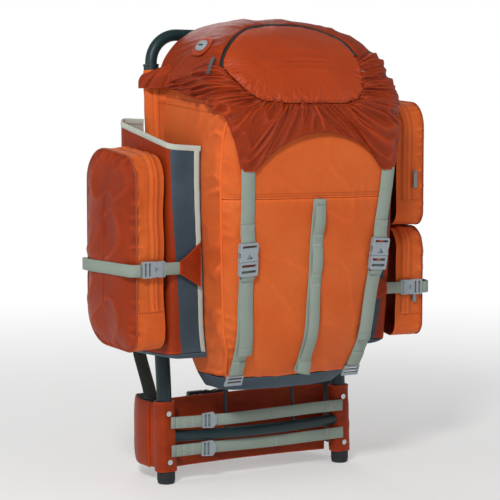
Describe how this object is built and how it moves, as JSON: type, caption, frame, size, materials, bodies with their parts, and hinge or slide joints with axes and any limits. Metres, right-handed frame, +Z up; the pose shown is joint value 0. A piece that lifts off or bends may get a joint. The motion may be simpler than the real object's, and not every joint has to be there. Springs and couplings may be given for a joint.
{
  "type": "external frame hiking backpack",
  "caption": "External-frame hiking pack: bent tube frame with hoop, top-loading bag, side pockets over wand sleeves, fold-back lid, hip belt and shoulder harness.",
  "frame": {"origin": "on the ground, midway between the two feet", "axes": "+Z up, -Y towards the load side, +Y towards the wearer, -X the wearer's left"},
  "size_m": [0.6236, 0.4173, 0.779],
  "materials": {
    "frame_tube": "satin",
    "black_plastic": "matte",
    "buckle_plastic": "satin",
    "steel_hardware": "polished",
    "zip_metal": "satin",
    "orange_cloth": "matte",
    "rust_cloth": "matte",
    "slate_cloth": "matte",
    "webbing": "matte"
  },
  "bodies": {
    "pack": {"back_panel": "orange_cloth", "belt_sheaths": "rust_cloth", "bottom_panel": "slate_cloth", "centre_rails": "frame_tube", "clevis_pins": "steel_hardware", "cross_bar_lower": "frame_tube", "cross_bars_upper": "frame_tube", "daisy_chain": "webbing", "foot_caps": "black_plastic", "frame_flanges": "orange_cloth", "front_panel_lower": "orange_cloth", "front_panel_upper": "orange_cloth", "front_strap_left": "webbing", "front_strap_right": "webbing", "harness_webbing": "webbing", "ladder_locks": "buckle_plastic", "lid_back_drop": "rust_cloth", "lumbar_pad": "rust_cloth", "pocket_buckle_female_left": "buckle_plastic", "pocket_buckle_female_right": "buckle_plastic", "pocket_left_face": "rust_cloth", "pocket_left_gusset": "orange_cloth", "pocket_right_lower_face": "rust_cloth", "pocket_right_lower_gusset": "orange_cloth", "pocket_right_upper_face": "rust_cloth", "pocket_right_upper_gusset": "orange_cloth", "pocket_straps": "webbing", "shoulder_straps": "slate_cloth", "shoulder_yoke": "slate_cloth", "side_panel_left": "orange_cloth", "side_panel_right": "orange_cloth", "side_tube_left": "frame_tube", "side_tube_right": "frame_tube", "split_rings": "steel_hardware", "sternum_buckle_female": "buckle_plastic", "tension_straps": "webbing", "top_hoop": "frame_tube", "tube_reducers": "black_plastic", "wand_sleeve_left": "slate_cloth", "wand_sleeve_right": "slate_cloth"},
    "lid": {"lid_skirt": "rust_cloth", "lid_pocket_cover": "rust_cloth", "lid_pocket_floor": "slate_cloth"},
    "lid_tab": {"lid_zip_slider": "zip_metal"},
    "lid_strap_hang_left": {"lid_strap_left": "webbing", "front_buckle_female_left": "buckle_plastic"},
    "lid_strap_hang_right": {"lid_strap_right": "webbing", "front_buckle_female_right": "buckle_plastic"},
    "front_male_left": {"front_buckle_male_left": "buckle_plastic"},
    "front_male_right": {"front_buckle_male_right": "buckle_plastic"},
    "pocket_male_left": {"pocket_buckle_male_left": "buckle_plastic"},
    "pocket_male_right": {"pocket_buckle_male_right": "buckle_plastic"},
    "wing_left": {"hip_wing_left": "rust_cloth"},
    "wing_right": {"hip_wing_right": "rust_cloth", "belt_buckle_female": "buckle_plastic"},
    "belt_male": {"belt_buckle_male": "buckle_plastic"},
    "sternum_male": {"sternum_buckle_male": "buckle_plastic"},
    "left_zip": {"pocket_left_zip_slider": "zip_metal"},
    "right_upper_zip": {"pocket_right_upper_zip_slider": "zip_metal"},
    "right_lower_zip": {"pocket_right_lower_zip_slider": "zip_metal"}
  },
  "joints": [
    {"name": "lid_fold", "type": "hinge", "parent": "pack", "child": "lid", "pos_m": [0, 0.014, 0.764], "axis": [-1, 0, 0], "range_deg": [0, 95]},
    {"name": "lid_strap_hang_left", "type": "hinge", "parent": "lid", "child": "lid_strap_hang_left", "pos_m": [-0.133, -0.2248, 0.529], "axis": [-1, 0, 0], "range_deg": [-95, 0]},
    {"name": "lid_strap_hang_right", "type": "hinge", "parent": "lid", "child": "lid_strap_hang_right", "pos_m": [0.133, -0.2248, 0.529], "axis": [-1, 0, 0], "range_deg": [-95, 0]},
    {"name": "lid_zip_pull", "type": "hinge", "parent": "lid", "child": "lid_tab", "pos_m": [-0.1618, -0.1625, 0.7117], "axis": [-0.4001, 0.9152, -0.049], "range_deg": [0, 60]},
    {"name": "front_buckle_left_release", "type": "slide", "parent": "pack", "child": "front_male_left", "axis": [0.0556, 0.1555, -0.9863], "range_m": [0, 0.024]},
    {"name": "front_buckle_right_release", "type": "slide", "parent": "pack", "child": "front_male_right", "axis": [-0.0556, 0.1555, -0.9863], "range_m": [0, 0.024]},
    {"name": "pocket_buckle_left_release", "type": "slide", "parent": "pack", "child": "pocket_male_left", "axis": [-0.9935, -0.1141, 0], "range_m": [0, 0.018]},
    {"name": "pocket_buckle_right_release", "type": "slide", "parent": "pack", "child": "pocket_male_right", "axis": [0.9935, -0.1141, 0], "range_m": [0, 0.018]},
    {"name": "hip_wing_left_swing", "type": "hinge", "parent": "pack", "child": "wing_left", "pos_m": [-0.184, 0.004, 0.079], "axis": [0, 0, 1], "range_deg": [0, 45]},
    {"name": "hip_wing_right_swing", "type": "hinge", "parent": "pack", "child": "wing_right", "pos_m": [0.184, 0.004, 0.079], "axis": [0, 0, -1], "range_deg": [0, 45]},
    {"name": "belt_buckle_release", "type": "slide", "parent": "wing_left", "child": "belt_male", "axis": [-1, 0, 0], "range_m": [0, 0.03]},
    {"name": "sternum_buckle_release", "type": "slide", "parent": "pack", "child": "sternum_male", "axis": [-1, 0, 0], "range_m": [0, 0.018]},
    {"name": "pocket_left_zip", "type": "slide", "parent": "pack", "child": "left_zip", "axis": [0, 0, 1], "range_m": [0, 0.1]},
    {"name": "pocket_right_upper_zip", "type": "slide", "parent": "pack", "child": "right_upper_zip", "axis": [0, 0, 1], "range_m": [0, 0.06]},
    {"name": "pocket_right_lower_zip", "type": "slide", "parent": "pack", "child": "right_lower_zip", "axis": [0, 0, 1], "range_m": [0, 0.05]}
  ],
  "couplings": [
    {"joint": "lid_strap_hang_left", "follows": "lid_fold", "ratio": -1},
    {"joint": "lid_strap_hang_right", "follows": "lid_fold", "ratio": -1}
  ]
}
